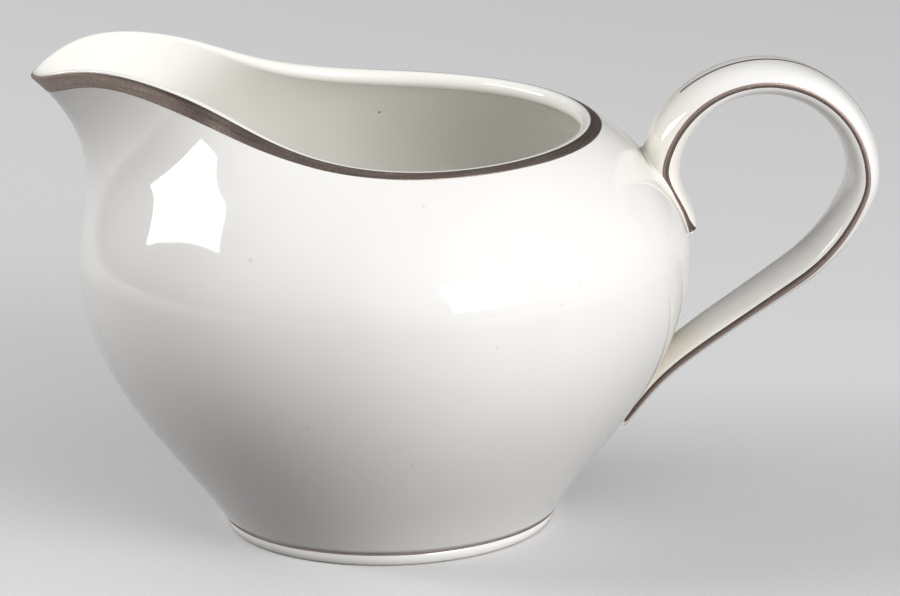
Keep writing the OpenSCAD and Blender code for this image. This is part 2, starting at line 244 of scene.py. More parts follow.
def close_tree(tree, geometry, material):
    """Ends a tree: what it made is made real and gets its material."""
    real = put(tree, "GeometryNodeRealizeInstances", None, {"Geometry": geometry})
    finished = put(tree, "GeometryNodeSetMaterial", None,
                   {"Geometry": real, "Material": material})
    leave = tree.nodes.new("NodeGroupOutput")
    tree.links.new(finished.socket, leave.inputs[0])


def empty_piece(name):
    """An object with an empty mesh."""
    return show(name, bpy.data.meshes.new(name))


def grow(name, tree, sizes, merge=SAME_POINT):
    """Runs a tree on an empty piece and gives back the result as a plain, closed mesh."""
    empty = empty_piece(name)
    modifier = empty.modifiers.new(tree.name, "NODES")
    modifier.node_group = tree
    for item in tree.interface.items_tree:
        if item.in_out == "INPUT" and item.name in sizes:
            modifier[item.identifier] = sizes[item.name]
    bpy.context.view_layer.update()
    ready = empty.evaluated_get(bpy.context.evaluated_depsgraph_get())
    mesh = bpy.data.meshes.new_from_object(ready)
    bpy.data.objects.remove(empty)
    piece = show(name, mesh)
    close_up(piece, merge)
    return piece


def close_up(piece, merge):
    """Joins doubled points, drops flat faces, turns faces outwards and shades smoothly."""
    work = bmesh.new()
    work.from_mesh(piece.data)
    bmesh.ops.remove_doubles(work, verts=work.verts, dist=merge)
    bmesh.ops.dissolve_degenerate(work, edges=work.edges, dist=merge)
    bmesh.ops.recalc_face_normals(work, faces=work.faces)
    loose = sum(1 for edge in work.edges if not edge.is_manifold)
    for face in work.faces:
        face.smooth = True
    work.to_mesh(piece.data)
    work.free()
    print(f"{piece.name}: {len(piece.data.polygons)} faces, {loose} open edges")


def dress(piece, node):
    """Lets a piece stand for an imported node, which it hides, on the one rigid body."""
    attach(piece, BODY)
    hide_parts(node)


# %% [markdown]
# ## Placeholder finishes
#
# A shape tree ends by setting a material, so the finishes exist before the shapes: glaze
# for the bowl, the strap and the slip, bare porcelain for the foot, and lustre for the
# lines round the axis and for those on the strap's edges. They are filled in further
# down, where each is explained.

# %% Materials to be filled in
def new_material(name):
    """A material whose tree is still empty."""
    material = bpy.data.materials.new(name)
    material.use_nodes = True
    material.node_tree.nodes.clear()
    return material


glaze = new_material("porcelain_glaze")
strap_glaze = new_material("strap_glaze")
slip_glaze = new_material("glazed_slip")
bare_porcelain = new_material("foot_porcelain")
lustre = new_material("metal_lustre")
strap_lustre = new_material("strap_lustre")

# %% [markdown]
# ## The bowl
#
# A caster's bowl is round except for its lip. Its wall could be sculpted, but a rule
# holds it better: at each angle round the bowl the wall is a pair of cubic curves, one
# from the foot to the belly and one from the belly to the rim, and only the end of the
# upper curve changes. Shares that grow towards the lip draw the rim outwards and
# upwards and let its tip dip, and a wider one turns the last of the wall from level to
# leaning out and thins it. The inner wall is the same curve sunk by the wall's
# thickness, a half circle joins the two over the rim, and a flat curve closes the floor.

# %% Measures of the bowl
bowl_low, bowl_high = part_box("bowl")
foot_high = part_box("foot_ring")[1]
BELLY_R = (bowl_high.y - bowl_low.y) / 2
FOOT_H = foot_high.z
FOOT_TOP_R = foot_high.y
FOOT_DRAW = 1.2 * MM
BELLY_H = 43.4 * MM
MOUTH_H = BELLY_H + 20.3 * MM

BOWL_SIZES = {
    "Sectors": 360,
    "Belly radius": BELLY_R,
    "Belly height": BELLY_H,
    "Foot radius": FOOT_TOP_R,
    "Foot height": FOOT_H,
    "Foot slope": math.radians(57.6),
    "Foot pull": 14.0 * MM,
    "Belly pull": 18.2 * MM,
    "Mouth radius": 32.5 * MM,
    "Mouth height": MOUTH_H,
    "Shoulder pull": 10.2 * MM,
    "Rim pull": 2.8 * MM,
    "Rim lean": math.radians(160),
    "Wall": 2.6 * MM,
    "Floor": 2.9 * MM,
    "Lip reach": 21.0 * MM,
    "Lip spread": math.radians(24),
    "Lip sharpness": 1.58,
    "Lip rise": 13.7 * MM,
    "Lip rise power": 4.38,
    "Lip dip": 4.3 * MM,
    "Lip dip spread": math.radians(10.3),
    "Lip lean": math.radians(42.5),
    "Throat pull": 8.0 * MM,
    "Lip pull": 17.0 * MM,
    "Lip wall": 1.0 * MM,
    "Lip turn spread": math.radians(42),
    "Finish": glaze,
}
SECTOR_SHIFT = math.radians(28)
FLOOR_START_SHARE = 0.2
FLOOR_TURN_SHARE = 0.2
FLOOR_LEVEL_SHARE = 0.62
print("belly radius", round(BELLY_R / MM, 2), "foot height", round(FOOT_H / MM, 2))

# %% [markdown]
# ### The wall's rule
#
# These functions work on quantities, so calling them adds nodes. A profile point is a
# pair: its distance from the axis and its height. `Wall` holds the four control points
# of one stretch of wall, and can give a point on it, or one sunk below its surface.

# %% The wall as curves
def turn(angle):
    """The direction of an angle, as a pair of quantities."""
    return angle.function("COSINE"), angle.function("SINE")


class Wall:
    """A stretch of the bowl's wall: a cubic curve with four control points."""

    def __init__(self, *points):
        self.points = points

    def at(self, t):
        """The place at a share of the stretch, as distance from the axis and height."""
        back = 1.0 - t
        weights = (back * back * back, 3.0 * back * back * t, 3.0 * back * t * t, t * t * t)
        return [sum(weight * point[axis] for weight, point in zip(weights, self.points))
                for axis in (0, 1)]

    def slope(self, t):
        """The direction of the stretch at a share of it, one unit long."""
        back = 1.0 - t
        weights = (back * back, 2.0 * back * t, t * t)
        steps = list(zip(self.points[:-1], self.points[1:]))
        rise = [sum(weight * (end[axis] - start[axis])
                    for weight, (start, end) in zip(weights, steps)) for axis in (0, 1)]
        size = (rise[0] * rise[0] + rise[1] * rise[1]).function("SQRT")
        return [rise[0] / size, rise[1] / size]

    def sunk(self, t, depth):
        """The place a depth below the outer surface."""
        place, slope = self.at(t), self.slope(t)
        return [place[0] - depth * slope[1], place[1] + depth * slope[0]]


def between(low, high, share):
    """The value at a share of the way from low to high."""
    return low + (high - low) * share


def fixed(value, beside):
    """A number as a quantity, in the tree of the quantity beside it."""
    return beside * 0.0 + value


def lower_wall(size):
    """The wall from the foot to the belly, the same all round."""
    run = turn(size["Foot slope"])
    return Wall(
        (size["Foot radius"], size["Foot height"]),
        (size["Foot radius"] + size["Foot pull"] * run[0],
         size["Foot height"] + size["Foot pull"] * run[1]),
        (size["Belly radius"], size["Belly height"] - size["Belly pull"]),
        (size["Belly radius"], size["Belly height"]))


def bell(angle, spread, sharpness=2.0):
    """A share that is 1 at the lip's tip and falls to 0 on both sides of it."""
    off_lip = (math.pi - angle).function("ABSOLUTE")
    return (-((off_lip / spread) ** sharpness)).function("EXPONENT")


def lip_share(size, angle):
    """How far the rim is drawn out."""
    return bell(angle, size["Lip spread"], size["Lip sharpness"])


def turn_share(size, angle):
    """How far the wall has turned from its form at the back to that at the tip."""
    return bell(angle, size["Lip turn spread"])


def rim_wall(size, angle):
    """Thickness of the wall at the rim."""
    return between(size["Wall"], size["Lip wall"], turn_share(size, angle))


def upper_wall(size, angle):
    """The wall from the belly to the rim; only its rim end knows where the lip is."""
    share = turn_share(size, angle)
    dip = bell(angle, size["Lip dip spread"])
    climb = ((1.0 - angle.function("COSINE")) * 0.5) ** size["Lip rise power"]
    rim = (size["Mouth radius"] + size["Lip reach"] * lip_share(size, angle),
           size["Mouth height"] + size["Lip rise"] * climb - size["Lip dip"] * dip)
    lean = turn(between(size["Rim lean"], size["Lip lean"], share))
    pull = between(size["Rim pull"], size["Lip pull"], share)
    upright = between(size["Shoulder pull"], size["Throat pull"], share)
    return Wall(
        (size["Belly radius"], size["Belly height"]),
        (size["Belly radius"], size["Belly height"] + upright),
        (rim[0] - pull * lean[0], rim[1] - pull * lean[1]),
        rim)


# %% [markdown]
# ### Sheets round the axis
#
# Each stretch of the profile is a sheet of its own: a flat grid whose points are moved
# to where the rule says. The grid's long side goes round the bowl, with its lines closer
# together at the lip, and its short side goes along the profile. The sheets share their
# edges, so joining doubled points makes one closed skin of them.

# %% Sheets
def flat_grid(tree, columns, rows):
    """A grid, and each of its points' shares of the way across and along."""
    grid = put(tree, "GeometryNodeMeshGrid", None,
               {"Size X": 1.0, "Size Y": 1.0, "Vertices X": columns + 1,
                "Vertices Y": rows + 1})
    across, along, _ = separate(put(tree, "GeometryNodeInputPosition"))
    return grid, across + 0.5, along + 0.5


def moved(tree, grid, point):
    """The grid with its points moved to where a rule says."""
    return put(tree, "GeometryNodeSetPosition", None, {"Geometry": grid, "Position": point})


def sheet(tree, size, rows, profile, stroke=None):
    """A grid bent round the axis; profile gives distance and height at (angle, share),
    and stroke, where there is one, the place on a brush stroke, kept for the finish."""
    grid, across, share = flat_grid(tree, size["Sectors"], rows)
    even = across * math.tau
    angle = even + SECTOR_SHIFT * even.function("SINE")
    if stroke:
        grid = keep(tree, grid, "stroke", stroke(angle, share))
    distance, height = profile(angle, share)
    cosine, sine = turn(angle)
    return moved(tree, grid, combine(tree, distance * cosine, distance * sine, height))


def keep(tree, geometry, name, vector):
    """Keeps a vector on the points under a name, so that a finish can read it."""
    return put(tree, "GeometryNodeStoreNamedAttribute", {"data_type": "FLOAT_VECTOR"},
               {"Geometry": geometry, "Name": name, "Value": vector})


def join(tree, parts):
    """One geometry of several."""
    made = tree.nodes.new("GeometryNodeJoinGeometry")
    for part in parts:
        tree.links.new(part.socket, made.inputs[0])
    return Quantity(made.outputs[0])


# %% [markdown]
# ### The bowl's seven sheets
#
# The profile starts in the middle of the underside, runs up the outer wall, over the
# rim, down the inner wall and across the floor back to the axis. A stretch that bends
# more gets more rows. The rim is a half circle on the wall's thickness, and the floor
# leaves the inner wall along its own slope, so no edge shows between the sheets.

# %% The bowl
ROWS = {"underside": 8, "lower wall": 44, "upper wall": 56, "rim": 16,
        "inner upper": 56, "inner lower": 36, "floor": 24}


def rim_round(size, angle, t, lift=0.0):
    """The half circle over the rim, from its outer edge to its inner one."""
    wall = upper_wall(size, angle)
    end = fixed(1.0, t)
    slope = wall.slope(end)
    half = rim_wall(size, angle) * 0.5
    middle = wall.sunk(end, half)
    swing = turn(t * math.pi)
    half = half + lift
    return [middle[0] + half * (slope[1] * swing[0] + slope[0] * swing[1]),
            middle[1] + half * (slope[1] * swing[1] - slope[0] * swing[0])]


def floor_curve(size, t):
    """The floor, from the inner wall to the axis."""
    low = lower_wall(size)
    start = fixed(FLOOR_START_SHARE, t)
    edge, slope = low.sunk(start, size["Wall"]), low.slope(start)
    turn_in = edge[0] * FLOOR_TURN_SHARE
    level = size["Foot height"] + size["Floor"]
    return Wall(edge, (edge[0] - turn_in * slope[0], edge[1] - turn_in * slope[1]),
                (edge[0] * FLOOR_LEVEL_SHARE, level), (size["Wall"] * 0.0, level)).at(t)


def inner_wall(size, angle, t):
    """The inner side of the upper wall, whose depth comes near the rim's thickness."""
    depth = between(size["Wall"], rim_wall(size, angle), t * t)
    return upper_wall(size, angle).sunk(t, depth)


def bowl_tree(sizes):
    """The whole bowl, as sheets from the middle of its underside to that of its floor."""
    tree, size = shape_tree("bowl_shape", sizes)
    profiles = (
        ("underside", lambda angle, t: (size["Foot radius"] * t, size["Foot height"])),
        ("lower wall", lambda angle, t: lower_wall(size).at(t)),
        ("upper wall", lambda angle, t: upper_wall(size, angle).at(t)),
        ("rim", lambda angle, t: rim_round(size, angle, t)),
        ("inner upper", lambda angle, t: inner_wall(size, angle, 1.0 - t)),
        ("inner lower", lambda angle, t: lower_wall(size).sunk(
            1.0 - (1.0 - FLOOR_START_SHARE) * t, size["Wall"])),
        ("floor", lambda angle, t: floor_curve(size, t)))
    close_tree(tree, join(tree, [sheet(tree, size, ROWS[name], profile)
                                 for name, profile in profiles]), size["Finish"])
    return tree


bowl = grow("bowl_glazed", bowl_tree(BOWL_SIZES), BOWL_SIZES)
dress(bowl, "bowl")

# %% [markdown]
# ## Painted films
#
# The band round the rim and the hairline above the foot are metal lustre: a brown liquid
# that is brushed on the fired glaze while the pot turns on a wheel, and fired again. The
# film is far thinner than paper, but a model needs a closed solid. Two sheets that
# follow the same rule, one a hair above the glaze and one a hair below it, meet in a
# feathered edge. The brush isn't steady, so the width wavers a little round the pot.

# %% Films round the axis
FILM = 0.03 * MM
BAND_W, LIP_BAND_W = 1.9 * MM, 2.9 * MM
BAND_NARROWING_SHARE = 0.2
BAND_OVER_RIM, TIP_OVER_RIM = math.radians(70), math.radians(60)
BACK_OVER_SHARE = 0.08
TIP_SPREAD = math.radians(5)
FOOT_LINE_W = 0.3 * MM
BAND_WAVER, FOOT_LINE_WAVER = 0.03, 0.12
BRUSH_WAVES = [(3.0, 1.0, 1.0), (7.0, 0.0, 0.6), (17.0, 2.0, 0.3)]
STROKE_R = 40 * MM
SEARCHES = 3


def wavering(angle, width, amount):
    """A width that a hand-held brush leaves: it wavers as the pot turns. A wave has its
    number round the pot, its start and its height."""
    waves = sum((angle * number + start).function("SINE") * high
                for number, start, high in BRUSH_WAVES)
    return width * (waves * amount + 1.0)


def film_tree(name, sizes, surface, width, rows):
    """A closed film on a surface, which gives a place at (angle, share, lift)."""
    tree, size = shape_tree(name, sizes)

    def stroke(angle, share):
        cosine, sine = turn(angle)
        return combine(tree, cosine * STROKE_R, sine * STROKE_R, (share - 0.5) * width)

    def face(side):
        def profile(angle, share):
            off_middle = share * 2.0 - 1.0
            square = off_middle * off_middle
            edge = 1.0 - square * square * square * square
            return surface(size, angle, share, size["Film"] * edge * side)
        return sheet(tree, size, rows, profile, stroke)

    close_tree(tree, join(tree, [face(1.0), face(-1.0)]), size["Finish"])
    return tree


def band_surface(size, angle, share, lift):
    """The outer wall within a brush's width of the rim, and near the lip's tip some of
    the rim's half circle. Where the band starts on the wall is searched for, because a
    share of a cubic curve is no measure of its length."""
    wall = upper_wall(size, angle)
    sideways = angle.function("SINE")
    width = between(size["Band width"], size["Lip band width"], lip_share(size, angle))
    width = width * (1.0 - sideways * sideways * BAND_NARROWING_SHARE)
    width = wavering(angle, width, BAND_WAVER)
    pull = between(size["Rim pull"], size["Lip pull"], turn_share(size, angle))
    start = 1.0 - width / (pull * 3.0)
    rim = wall.points[3]
    for _ in range(SEARCHES):
        low = wall.at(start)
        reach = ((rim[0] - low[0]) ** 2.0 + (rim[1] - low[1]) ** 2.0).function("SQRT")
        start = 1.0 - (1.0 - start) * width / reach
    over_rim = (size["Over rim"] * between(BACK_OVER_SHARE, 1.0, turn_share(size, angle))
                + TIP_OVER_RIM * bell(angle, TIP_SPREAD))
    over = over_rim * rim_wall(size, angle) * 0.5 / width
    on = share * (over + 1.0)
    place = wall.sunk(between(start, 1.0, on.at_most(1.0)), -lift)
    past = (on - 1.0).at_least(0.0) / over * over_rim / math.pi
    top, edge = rim_round(size, angle, past, lift), rim_round(size, angle, past * 0.0, lift)
    return [place[0] + top[0] - edge[0], place[1] + top[1] - edge[1]]


def foot_surface(size, angle, share, lift):
    """The top of the foot ring's wall."""
    width = wavering(angle, size["Line width"], FOOT_LINE_WAVER)
    drop = width * (1.0 - share)
    return [size["Foot radius"] - drop * size["Foot draw"] / size["Foot height"] + lift,
            size["Foot height"] - drop]


FILM_SIZES = {"Sectors": 720, "Film": FILM, "Finish": lustre}
BAND_SIZES = {**BOWL_SIZES, "Band width": BAND_W, "Lip band width": LIP_BAND_W,
              "Over rim": BAND_OVER_RIM, **FILM_SIZES}
FOOT_LINE_SIZES = {"Foot radius": FOOT_TOP_R, "Foot height": FOOT_H,
                   "Foot draw": FOOT_DRAW, "Line width": FOOT_LINE_W, **FILM_SIZES}
BAND_ROWS, FOOT_LINE_ROWS = 14, 8
for node, sizes, surface, width, rows in (
        ("rim_band", BAND_SIZES, band_surface, BAND_W, BAND_ROWS),
        ("foot_line", FOOT_LINE_SIZES, foot_surface, FOOT_LINE_W, FOOT_LINE_ROWS)):
    film = grow(node + "_lustre", film_tree(node + "_shape", sizes, surface, width, rows),
                sizes)
    dress(film, node)

# %% [markdown]
# ## The foot ring
#
# The foot ring is a plain turned ring, so spinning an outline is the shortest way to it.
# The outline is written down with its four corners, and the two corners of the ground
# face are rounded with an arc each, because grinding leaves them dull, not sharp.

# %% Foot ring
FOOT_LAND_W = 1.8 * MM
FOOT_COVE = 1.6 * MM
FOOT_ROUND = 0.35 * MM
FOOT_TURNS = 288
ROUND_STEPS = 6
FOOT_SAME_POINT = 1e-6


def rounded(corner, before, after, radius):
    """Points of an arc that rounds a corner between its two neighbours."""
    start = corner + (before - corner).normalized() * radius
    end = corner + (after - corner).normalized() * radius
    shares = [step / ROUND_STEPS for step in range(ROUND_STEPS + 1)]
    return [start * (1 - share) ** 2 + corner * 2 * share * (1 - share) + end * share ** 2
            for share in shares]


def lathe(name, outline, turns):
    """Spins a closed outline of (radius, height) points once round the axis."""
    piece = empty_piece(name)
    work = bmesh.new()
    corners = [work.verts.new((point.x, 0, point.y)) for point in outline]
    edges = [work.edges.new((corners[k - 1], corners[k])) for k in range(len(corners))]
    bmesh.ops.spin(work, geom=corners + edges, cent=(0, 0, 0), axis=(0, 0, 1),
                   angle=math.tau, steps=turns, use_duplicate=False)
    work.to_mesh(piece.data)
    work.free()
    close_up(piece, FOOT_SAME_POINT)
    return piece


def foot_outline():
    """The ring's section: its two upper corners, and its rounded ground face."""
    top = Vector((FOOT_TOP_R, FOOT_H))
    outer = Vector((FOOT_TOP_R - FOOT_DRAW, 0))
    inner = Vector((outer.x - FOOT_LAND_W, 0))
    cove = Vector((inner.x - FOOT_COVE, FOOT_H))
    return [top, *rounded(outer, top, inner, FOOT_ROUND),
            *rounded(inner, outer, cove, FOOT_ROUND), cove]


foot = lathe("foot_ring_ground", foot_outline(), FOOT_TURNS)
foot.data.materials.append(bare_porcelain)
dress(foot, "foot_ring")

# %% [markdown]
# ## The strap's course
#
# The handle is one strap of clay. From its tongue, which lies on the bowl's shoulder, it
# climbs into a round loop, bends over a short heel and a wide run, and comes back as a
# long arm whose tip lies on the lower wall. Its middle line is made here as points in
# the upright plane through the bowl's axis: arcs for the bends, and a cubic curve at
# each end that leaves the bowl along its wall. Where the wall is, a ray cast at the
# finished bowl tells, so the ends fit it however it was made.

# %% The middle line
LOOP_CENTRE = Vector((BELLY_R + 11.5 * MM, BELLY_H + 9.7 * MM))
LOOP_R = 16 * MM
HEEL_R, HEEL_ANGLE = 7 * MM, math.radians(21.5)
HEEL_RUN_R, HEEL_RUN_ANGLE = 28 * MM, math.radians(35.5)
TONGUE_ANGLE = math.radians(12)
LOOP_PULL, TONGUE_PULL = 3 * MM, 6 * MM
ARM_PULL, ARM_END_PULL = 26 * MM, 11 * MM
TONGUE_END_H = BELLY_H + 2.1 * MM
ARM_TIP_H = FOOT_H + 12.9 * MM
TONGUE_STAND, ARM_TIP_STAND = 0.1 * MM, 0.4 * MM
COURSE_STEP = 0.35 * MM
SMOOTHING_PASSES = 24
bpy.context.view_layer.update()


def wall_place(height):
    """The wall's place at a height behind the handle, and its direction upwards."""
    hit, place, normal, _ = bowl.ray_cast(Vector((2 * BELLY_R, 0, height)),
                                          Vector((-1, 0, 0)), distance=2 * BELLY_R)
    if not hit:
        return None, None
    return Vector((place.x, height)), Vector((-normal.z, normal.x)).normalized()


def along(angle):
    """The direction of an angle in the strap's plane."""
    return Vector((math.cos(angle), math.sin(angle)))


def bend(start, direction, radius, angle):
    """Points of a clockwise bend, and the direction in which it ends."""
    centre = start + radius * along(direction - math.pi / 2)
    steps = max(2, round(radius * angle / COURSE_STEP))
    turns = [direction + math.pi / 2 - angle * k / steps for k in range(steps + 1)]
    return [centre + radius * along(at) for at in turns], direction - angle


def cubic(points):
    """Points of a cubic curve with four control points."""
    steps = round((points[3] - points[0]).length / COURSE_STEP)
    shares = [k / steps for k in range(steps + 1)]
    return [points[0] * (1 - t) ** 3 + points[1] * 3 * t * (1 - t) ** 2
            + points[2] * 3 * t * t * (1 - t) + points[3] * t ** 3 for t in shares]


def strap_course():
    """The middle line from the tongue's end to the arm's tip, evenly smoothed."""
    direction = math.pi / 2 - TONGUE_ANGLE
    loop_start = LOOP_CENTRE + LOOP_R * along(math.pi - TONGUE_ANGLE)
    loop, direction_on = bend(loop_start, direction, LOOP_R, math.pi - TONGUE_ANGLE)
    heel, direction_on = bend(loop[-1], direction_on, HEEL_R, HEEL_ANGLE)
    run, direction_on = bend(heel[-1], direction_on, HEEL_RUN_R, HEEL_RUN_ANGLE)
    wall, upwards = wall_place(TONGUE_END_H)
    end = wall + Vector((upwards.y, -upwards.x)) * TONGUE_STAND
    tongue = cubic([end, end + TONGUE_PULL * upwards,
                    loop_start - LOOP_PULL * along(direction), loop_start])
    wall, upwards = wall_place(ARM_TIP_H)
    tip = wall + Vector((upwards.y, -upwards.x)) * ARM_TIP_STAND
    arm = cubic([run[-1], run[-1] + ARM_PULL * along(direction_on),
                 tip + ARM_END_PULL * upwards, tip])
    points = tongue[:-1] + loop[:-1] + heel[:-1] + run[:-1] + arm
    return smoothed([kept_off(point) for point in points])


def kept_off(point):
    """The point, moved out level where it would come nearer to the bowl than it may."""
    wall, _ = wall_place(point.y)
    return point if wall is None else Vector((max(point.x, wall.x + TONGUE_STAND), point.y))


def smoothed(points):
    """The same points, each drawn a little to the middle of its neighbours."""
    for _ in range(SMOOTHING_PASSES):
        points = [points[0]] + [
            (points[k - 1] + points[k] * 2 + points[k + 1]) / 4
            for k in range(1, len(points) - 1)] + [points[-1]]
    return points


course = strap_course()
distances = [0.0]
for k in range(1, len(course)):
    distances.append(distances[-1] + (course[k] - course[k - 1]).length)
STRAP_LENGTH = distances[-1]
print("strap:", len(course), "points,", round(STRAP_LENGTH / MM, 1), "mm long")

# %% [markdown]
# ### How the strap swells and thins
#
# A potter's strap is never even. The tables give its width, its thickness, how wide the
# painted line on its edge is, and how much slip fills its corner with the bowl, each as
# a share of the full size at shares of the length. A smooth curve is laid through the
# rows of a table, because a kink in it would show at once as a kink in the reflections.

# %% The strap's tables
STRAP_W, STRAP_T = 13.6 * MM, 4.9 * MM
STRAP_SQUARENESS = 2.3
EDGE_LINE_ANGLE = math.radians(9)
SLIP_FILLET = 1.3 * MM
END_ROUND = 0.9 * MM

WIDTH_SHARES = [(0, 0.84), (0.03, 0.93), (0.07, 0.98), (0.12, 1), (0.7, 1), (0.85, 0.95),
                (0.95, 0.9), (1, 0.78)]
THICKNESS_SHARES = [(0, 0.55), (0.02, 0.64), (0.045, 0.66), (0.065, 0.8), (0.09, 1.16),
                    (0.12, 1.15), (0.16, 1.1), (0.24, 0.98), (0.35, 1.06), (0.45, 1.03),
                    (0.55, 0.98), (0.66, 0.84), (0.75, 0.7), (0.85, 0.66), (0.93, 0.6),
                    (1, 0.5)]
LINE_SHARES = [(0, 5), (0.01, 3), (0.022, 1.0), (0.1, 0.8), (0.25, 0.85), (0.5, 0.75),
               (0.62, 1.1), (0.75, 1.5), (0.95, 1.6), (1, 1.4)]
FILLET_SHARES = [(0, 0.12), (0.04, 0.2), (0.08, 0.9), (0.12, 1), (0.2, 1), (0.8, 0.9),
                 (0.9, 0.5), (1, 0.3)]


def table(rows, place):
    """A smooth curve through the rows of a table, read at a place."""
    k = max(1, min(len(rows) - 1, sum(1 for row in rows if row[0] < place)))
    (left, low), (right, high) = rows[k - 1], rows[k]
    before, after = rows[max(k - 2, 0)], rows[min(k + 1, len(rows) - 1)]
    rise_low = (high - before[1]) / (right - before[0]) * (right - left)
    rise_high = (after[1] - low) / (after[0] - left) * (right - left)
    t = min(1.0, max(0.0, (place - left) / (right - left)))
    return ((2 * t ** 3 - 3 * t ** 2 + 1) * low + (t ** 3 - 2 * t ** 2 + t) * rise_low
            + (3 * t ** 2 - 2 * t ** 3) * high + (t ** 3 - t ** 2) * rise_high)


def course_place(share):
    """The middle line's point and direction at a share of its length."""
    distance = share * STRAP_LENGTH
    k = max(1, min(len(course) - 1, sum(1 for passed in distances if passed < distance)))
    step = course[k] - course[k - 1]
    part = (distance - distances[k - 1]) / (distances[k] - distances[k - 1])
    before, after = course[max(k - 2, 0)], course[min(k + 1, len(course) - 1)]
    run_before = (course[k] - before).normalized() * (1 - part)
    run_after = (after - course[k - 1]).normalized() * part
    return course[k - 1] + step * part, (run_before + run_after).normalized()


# %% [markdown]
# ### Rings as points that carry numbers
#
# A path mesh has one point for each ring of the strap. Each point carries named
# attributes: the direction away from the loop, the half width and half thickness there,
# and so on. The shape tree reads them back by the ring's number. At each end the rings
# crowd together and draw in, which rounds the end, and a last flat ring closes it. The
# lines and the slip aren't rounded: their end rings lie in one place and become one when
# doubled points are joined.

# %% Paths
RING_STEP, SLIP_RING_STEP = 0.4 * MM, 0.25 * MM
END_RINGS = 8
FLAT_END = -1.0


def ring_shares(first, last, step, rounding):
    """The rings of a piece: each one's share of the strap's length, and how far it is
    from the piece's nearer end."""
    length_here = (last - first) * STRAP_LENGTH
    count = round((length_here - 2 * rounding) / step)
    inside = [rounding + (length_here - 2 * rounding) * k / count for k in range(count + 1)]
    near = [rounding * (1 - math.cos(math.pi / 2 * k / END_RINGS))
            for k in range(END_RINGS)]
    places = near + inside + [length_here - place for place in reversed(near)]
    return [(place / STRAP_LENGTH + first, min(place, length_here - place))
            for place in places]


def ring_numbers(share, in_from_end, rounding):
    """The numbers that one ring carries; a flat end ring has no thickness."""
    gap = max(0.0, rounding - max(0.0, in_from_end))
    inset = rounding - math.sqrt(max(0.0, rounding ** 2 - gap ** 2))
    # A rounding error just below 0 counts as flat too. One end ring of the lower slip and
    # one of each edge line meet it, which leaves stray faces at the arm's tip.
    is_open = 0.0 if in_from_end < 0 else 1.0
    half_t = STRAP_T / 2 * table(THICKNESS_SHARES, share) - inset
    return {"half_width": STRAP_W / 2 * table(WIDTH_SHARES, share) - inset,
            "half_thickness": is_open * half_t,
            "line_angle": EDGE_LINE_ANGLE * table(LINE_SHARES, share),
            "fillet": SLIP_FILLET * table(FILLET_SHARES, share),
            "open": is_open}


def strap_path(name, first, last, step=RING_STEP, rounding=0.0):
    """A path mesh whose points carry the numbers of the strap's rings."""
    rings = ring_shares(first, last, step, rounding)
    rings = [(rings[0][0], FLAT_END), *rings, (rings[-1][0], FLAT_END)]
    path = empty_piece(name)
    places = [course_place(share) for share, _ in rings]
    path.data.from_pydata([(place.x, 0, place.y) for place, _ in places], [], [])
    numbers = [ring_numbers(*ring, rounding) for ring in rings]
    for key in numbers[0]:
        path.data.attributes.new(key, "FLOAT", "POINT").data.foreach_set(
            "value", [row[key] for row in numbers])
    away = path.data.attributes.new("away", "FLOAT_VECTOR", "POINT")
    away.data.foreach_set("vector", [number for _, run in places
                                     for number in (-run.y, 0.0, run.x)])
    return path, len(rings)


# %% [markdown]
# ### The skin of the strap
#
# The skin is a grid again: one way goes round the strap, the other along its rings. The
# section is a squared ellipse. Whatever would reach into the bowl is moved out level to
# the bowl's wall, which a ray cast towards the axis finds. The same skin, lifted by a
# film's thickness between two angles, gives the painted lines, and lifted by a fillet's
# curve near the bowl it gives the slip that fills the corner.

# %% Tools for the strap's skin
SEAT = 0.06 * MM
EDGE_T = 0.4 * MM
OUTWARD_FROM, OUTWARD_TO = -0.3, 0.1
NO_WALL = 1 * MM
STRAP_SAME_POINT = 1e-6


def from_path(size, key, kind, ring):
    """What the path's point number `ring` carries under a name."""
    tree = ring.tree
    path = put(tree, "GeometryNodeObjectInfo", {"transform_space": "RELATIVE"},
               {"Object": size["Path"]}, "Geometry")
    value = (put(tree, "GeometryNodeInputPosition") if key == "position" else
             put(tree, "GeometryNodeInputNamedAttribute", {"data_type": kind},
                 {"Name": key}, "Attribute"))
    return put(tree, "GeometryNodeSampleIndex", {"data_type": kind, "domain": "POINT"},
               {"Geometry": path, "Value": value, "Index": ring}, "Value")


def wall_distance(size, x, y, z):
    """How far the bowl's wall is from the axis, level with a point; 0 above the bowl."""
    tree = x.tree
    target = put(tree, "GeometryNodeObjectInfo", {"transform_space": "RELATIVE"},
                 {"Object": size["Bowl"]}, "Geometry")
    radius = (x * x + y * y).function("SQRT")
    outside = 2 * BELLY_R / radius
    ray = put(tree, "GeometryNodeRaycast", None,
              {"Target Geometry": target, "Source Position": combine(
                  tree, x * outside, y * outside, z),
               "Ray Direction": combine(tree, -x, -y, 0.0), "Ray Length": 2 * BELLY_R},
              "Hit Position")
    hit_x, hit_y, _ = separate(ray)
    return radius, (hit_x * hit_x + hit_y * hit_y).function("SQRT")


def squared(wave):
    """The squared ellipse's version of a sine or cosine."""
    return wave.function("SIGN") * wave.function("ABSOLUTE") ** (2 / STRAP_SQUARENESS)


def strap_corner(tree, size, ring, angle, lift):
    """A point of the section before it is seated: its three numbers, and what tells
    whether it looks away from the bowl."""
    place = separate(from_path(size, "position", "FLOAT_VECTOR", ring))
    away = separate(from_path(size, "away", "FLOAT_VECTOR", ring))
    half_w = from_path(size, "half_width", "FLOAT", ring)
    half_t = from_path(size, "half_thickness", "FLOAT", ring)
    cosine, sine = turn(angle)
    rise = half_t * squared(sine) + lift * sine
    return (place[0] + rise * away[0],
            -(half_w * squared(cosine)) - lift * cosine,
            place[2] + rise * away[2],
            sine * away[0])


